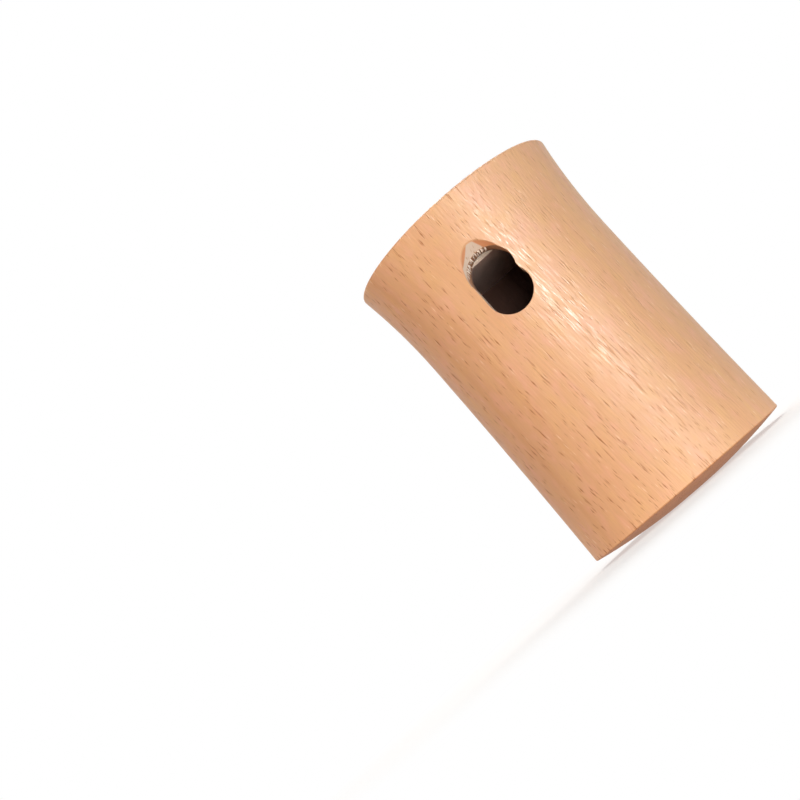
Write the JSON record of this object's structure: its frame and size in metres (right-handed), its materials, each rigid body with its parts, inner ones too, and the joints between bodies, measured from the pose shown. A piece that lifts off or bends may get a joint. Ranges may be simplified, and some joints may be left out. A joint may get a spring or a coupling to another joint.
{
  "type": "bird call",
  "caption": "Turned beech bird call: a waisted, hollow barrel whistle with a drilled window, a block that forms the windway in its mouth end and a plug that closes its domed end.",
  "frame": {"origin": "on the table, at the middle of the flat under the dome that the call stands on", "axes": "+Z along the bore from the domed end up to the mouth end, the window facing -Y, +X across"},
  "size_m": [0.0624, 0.0623, 0.0932],
  "materials": {
    "finished_beech": "satin oil finish",
    "raw_wood": "raw, sawn"
  },
  "bodies": {
    "root": {"body": "finished_beech", "base_plug": "finished_beech", "fipple_block": "raw_wood"}
  },
  "joints": []
}
